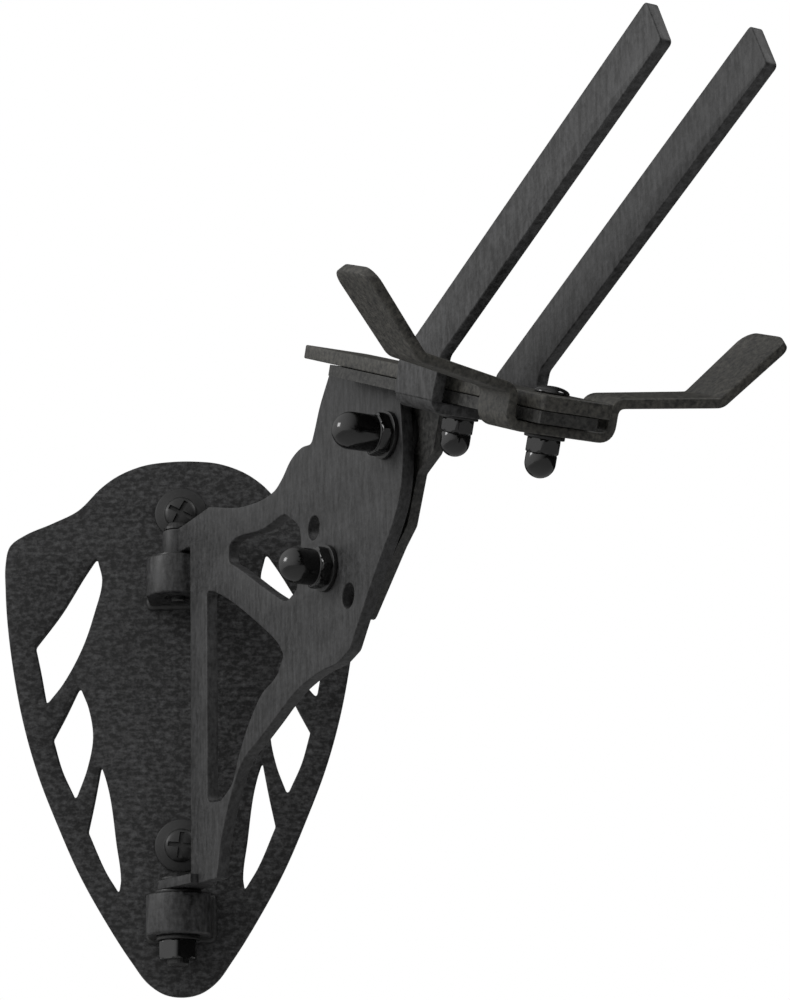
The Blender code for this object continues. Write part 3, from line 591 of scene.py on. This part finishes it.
NEAR = ARM_T / 2
FAR = LUG_W + LUG_T
for name, centre, dome_h in (("pivot", spots[0], 14.5), ("index", spots[2], 12.5)):
    rows = [(0, -NEAR - 9.5), (3.5, -NEAR - 9.5), (BOLT_R, -NEAR - 9.0), (BOLT_R, FAR + 1.75),
            (6.2, FAR + 1.75), (6.5, FAR + 1.9), (6.6, FAR + 2.4)]
    rows += domed(6.6, FAR + 2.4, 3.7) + [(0, FAR + 6.1)]
    turned(name + "_bolt_piece", rows, SIDE, centre, ARM, "arm", GLOSS, name + "_bolt")
    washer(name + "_washer_near", BOLT_R + 0.1, BOLT_WASHER_R, -NEAR - 1.7, -NEAR - SEAT, SIDE, centre, ARM,
           "arm")
    washer(name + "_washer_far", BOLT_R + 0.1, BOLT_WASHER_R, FAR + SEAT, FAR + 1.65, SIDE, centre, ARM,
           "arm")
    cap_nut(name + "_cap_nut", BOLT_R, BOLT_NUT_FLATS, -NEAR - 1.8, 3.6, 6.2, dome_h, SIDE, centre, ARM,
            "arm")
washer("pivot_friction_washer", BOLT_R + 0.1, 9.5, NEAR + 0.1, LUG_W - 0.1, SIDE, spots[0], ARM, "arm")

# ---------------------------------------------------------------- head
SKULL_LOW = SKULL_TOP - SKULL_T
skull = rounded([(-SKULL_HALF, SKULL_BACK), (SKULL_HALF, SKULL_BACK), (SKULL_HALF, SKULL_FRONT),
                 (-SKULL_HALF, SKULL_FRONT)], 2.5)
sheet("skull_plate_piece", [skull, circle(0, BOLT_REAR_F, TOP_HOLE_R), circle(0, BOLT_FRONT_F, TOP_HOLE_R)],
      SKULL_LOW, SKULL_TOP, PLAN, HEAD, "head", SKULL_COAT, "skull_plate")
bevelled("head_bracket", BRACKET_COAT, 0.4)

WEB_TOP = SKULL_LOW - GAP - FLANGE_T - GAP
WEB_LOW = WEB_TOP - SHEET_T
blade = [(33.2, WEB_LOW + 3.6), (57.4, WEB_LOW + 3.6), (58.5, 30.0), (152.6, 126.6), (141.2, 137.9),
         (31.9, 25.7)]
for side_name, low in (("left", -PRONG_OUT), ("right", PRONG_OUT - PRONG_T)):
    sheet("antler_blade_" + side_name, [rounded(blade, [0.3, 0.3, 3, 1.8, 1.8, 3])], low, low + PRONG_T,
          SIDE, HEAD, "head", PRONG_COAT, "antler_fork" if side_name == "left" else None)

u_line = [(-PRONG_OUT + PRONG_T / 2, 20.0), (-PRONG_OUT + PRONG_T / 2, WEB_LOW + SHEET_T / 2),
          (PRONG_OUT - PRONG_T / 2, WEB_LOW + SHEET_T / 2), (PRONG_OUT - PRONG_T / 2, 20.0)]
sheet("antler_fork_web", [bent_strip(open_rounded(u_line, 3.6), SHEET_T)], 33.4, 57.2, ACROSS, HEAD, "head",
      PRONG_COAT, None, 0.35)

# Ears: a strip lofted along its bent centre line, its free corners rounded
ear_right = [(0.0, WEB_LOW + SHEET_T / 2), (17.7, WEB_LOW + SHEET_T / 2), (17.7, 24.3), (52.6, 29.5),
             (73.8, 51.2)]
line = open_rounded(ear_right, 4.2)
dense = []
for a, b in zip(line, line[1:]):
    a, b = Vector(a), Vector(b)
    parts = max(1, int((b - a).length / 3.0))
    dense += [a.lerp(b, k / parts) for k in range(parts)]
tip = Vector(line[-1])
last_dir = (tip - dense[-1]).normalized()
while (tip - dense[-1]).length < EAR_CORNER_R:
    dense.pop()
dense.append(tip - last_dir * EAR_CORNER_R)
for k in range(1, 9):
    dense.append(tip - last_dir * EAR_CORNER_R * (1 - math.sin(math.pi / 2 * k / 8)))
centre_line = [Vector((-p.x, p.y)) for p in reversed(dense[1:])] + dense
loops = []
count = len(centre_line)
for i, p in enumerate(centre_line):
    along = (centre_line[min(count - 1, i + 1)] - centre_line[max(0, i - 1)]).normalized()
    normal = Vector((-along.y, along.x))
    left_over = min((p - centre_line[0]).length, (p - centre_line[-1]).length)
    inset = 0.0
    if left_over < EAR_CORNER_R:
        inset = EAR_CORNER_R - math.sqrt(max(0.0, EAR_CORNER_R ** 2 - (EAR_CORNER_R - left_over) ** 2))
    # the strip widens outwards from its upright part, and its back edge sweeps back past the bend
    wing = min(1.0, max(0.0, (abs(p.x) - WING_FROM) / WING_OVER))
    sweep = min(1.0, max(0.0, (abs(p.x) - SWEEP_FROM) / SWEEP_OVER))
    f0 = RISER_F0 + (BEND_F0 - RISER_F0) * wing + (EAR_F0 - BEND_F0) * sweep
    f1 = RISER_F1 + (EAR_F1 - RISER_F1) * wing
    mid_f = (f0 + f1) / 2
    w = (f1 - f0) / 2 - inset
    ring = []
    across_u, across_v = w - EAR_SOFT, EAR_T / 2 - EAR_SOFT
    for cu, cv, start in ((across_u, across_v, 0), (-across_u, across_v, 90), (-across_u, -across_v, 180),
                          (across_u, -across_v, 270)):
        for k in range(4):
            t = math.radians(start + 30 * k)
            f = cu + EAR_SOFT * math.cos(t)
            h = cv + EAR_SOFT * math.sin(t)
            q = p + normal * h
            ring.append((q.x, -(mid_f + f), q.y))
    loops.append(ring)
loft("ear_bar_piece", loops, False, HEAD, "head", EAR_COAT, "ear_bar", 50)

ear_low = WEB_LOW + SHEET_T / 2 - EAR_T / 2
for word, f, web_low in (("rear", BOLT_REAR_F, WEB_LOW), ("front", BOLT_FRONT_F, ear_low)):
    top = SKULL_TOP + SEAT
    rows = [(0, web_low - 7.9), (2.6, web_low - 7.9), (TOP_BOLT_R, web_low - 7.4), (TOP_BOLT_R, top),
            (5.1, top), (5.35, top + 0.15), (5.4, top + 0.4)]
    rows += domed(5.4, top + 0.4, 1.9) + [(0, top + 2.3)]
    turned("top_bolt_%s_piece" % word, rows, PLAN, (0, f), HEAD, "head", GLOSS, "top_bolt_" + word)
    washer("top_washer_" + word, TOP_BOLT_R + 0.1, TOP_WASHER_R, web_low - 1.3, web_low - SEAT, PLAN, (0, f),
           HEAD, "head")
    cap_nut("cap_nut_" + word, TOP_BOLT_R, TOP_NUT_FLATS, web_low - 1.42, 4.2, 4.75, 7.8, PLAN, (0, f), HEAD,
            "head")

# ---------------------------------------------------------------- stage, light and camera
floor_mesh = bpy.data.meshes.new("studio_floor")
FLOOR_REACH = 6.0
FLOOR_Z = -1.35
floor_corners = [(-FLOOR_REACH, -FLOOR_REACH), (FLOOR_REACH, -FLOOR_REACH), (FLOOR_REACH, FLOOR_REACH),
                 (-FLOOR_REACH, FLOOR_REACH)]
floor_mesh.from_pydata([(x, y, FLOOR_Z) for x, y in floor_corners], [], [(0, 1, 2, 3)])
floor = bpy.data.objects.new("studio_floor", floor_mesh)
bpy.context.scene.collection.objects.link(floor)
floor_mat = bpy.data.materials.new("pale_floor")
floor_mat.use_nodes = True
floor_shader = floor_mat.node_tree.nodes["Principled BSDF"]
floor_shader.inputs["Base Color"].default_value = (0.8, 0.8, 0.8, 1)
floor_shader.inputs["Roughness"].default_value = 0.8
floor_mesh.materials.append(floor_mat)

# The camera sees plain white. The object is lit from the left and above, and hardly at all from the front
# right.
WORLD_LOW = 0.03
WORLD_HIGH = 1.3
BRIGHT_SIDE = (-0.79, -0.46, 0.40)
world = bpy.data.worlds.new("studio")
bpy.context.scene.world = world
world.use_nodes = True
tree = world.node_tree
shown = tree.nodes["Background"]
shown.inputs["Color"].default_value = (1, 1, 1, 1)
lit = node(tree, "ShaderNodeBackground")
coords = node(tree, "ShaderNodeTexCoord")
lean = node(tree, "ShaderNodeVectorMath", operation="DOT_PRODUCT")
lean.inputs[1].default_value = BRIGHT_SIDE
tree.links.new(coords.outputs["Generated"], lean.inputs[0])
tree.links.new(ramp(tree, lean.outputs["Value"], -0.1, 1.0, WORLD_LOW, WORLD_HIGH), lit.inputs["Strength"])
rays = node(tree, "ShaderNodeLightPath")
choose = node(tree, "ShaderNodeMixShader")
tree.links.new(rays.outputs["Is Camera Ray"], choose.inputs["Fac"])
tree.links.new(lit.outputs["Background"], choose.inputs[1])
tree.links.new(shown.outputs["Background"], choose.inputs[2])
tree.links.new(choose.outputs["Shader"], tree.nodes["World Output"].inputs["Surface"])


def area_light(name, place, target, size, watts):
    lamp = bpy.data.lights.new(name, "AREA")
    lamp.shape = "RECTANGLE"
    lamp.size = size[0]
    lamp.size_y = size[1]
    lamp.energy = watts
    obj = bpy.data.objects.new(name, lamp)
    obj.location = place
    obj.rotation_euler = (Vector(target) - Vector(place)).to_track_quat("-Z", "Y").to_euler()
    bpy.context.scene.collection.objects.link(obj)


area_light("key", (-1.35, -0.55, 0.75), (0.08, -0.12, 0.0), (0.5, 0.5), 6)
area_light("rim", (0.9, -0.4, 0.9), (0.1, -0.15, 0.05), (0.4, 0.6), 4)

YAW_DEG = -1.28
PITCH_DEG = 14.97
ROLL_DEG = -1.25
CAMERA_AT = Vector((0.1057, -1.0608, -0.2157))
SENSOR_MM = 36.0
FOCAL_WIDTHS = 3.620
yaw, pitch, roll = (math.radians(a) for a in (YAW_DEG, PITCH_DEG, ROLL_DEG))
look = Vector((math.sin(yaw) * math.cos(pitch), math.cos(yaw) * math.cos(pitch), math.sin(pitch)))
level = Vector((math.cos(yaw), -math.sin(yaw), 0))
above = level.cross(look)
right_dir = level * math.cos(roll) + above * math.sin(roll)
up_dir = above * math.cos(roll) - level * math.sin(roll)
camera_data = bpy.data.cameras.new("camera")
camera_data.sensor_fit = "HORIZONTAL"
camera_data.sensor_width = SENSOR_MM
camera_data.lens = SENSOR_MM * FOCAL_WIDTHS
camera_data.clip_start = 0.01
camera = bpy.data.objects.new("camera", camera_data)
facing = Matrix((right_dir, up_dir, -look)).transposed()
camera.matrix_world = Matrix.Translation(CAMERA_AT) @ facing.to_4x4()
bpy.context.scene.collection.objects.link(camera)
bpy.context.scene.camera = camera
bpy.context.scene.view_settings.view_transform = "Standard"
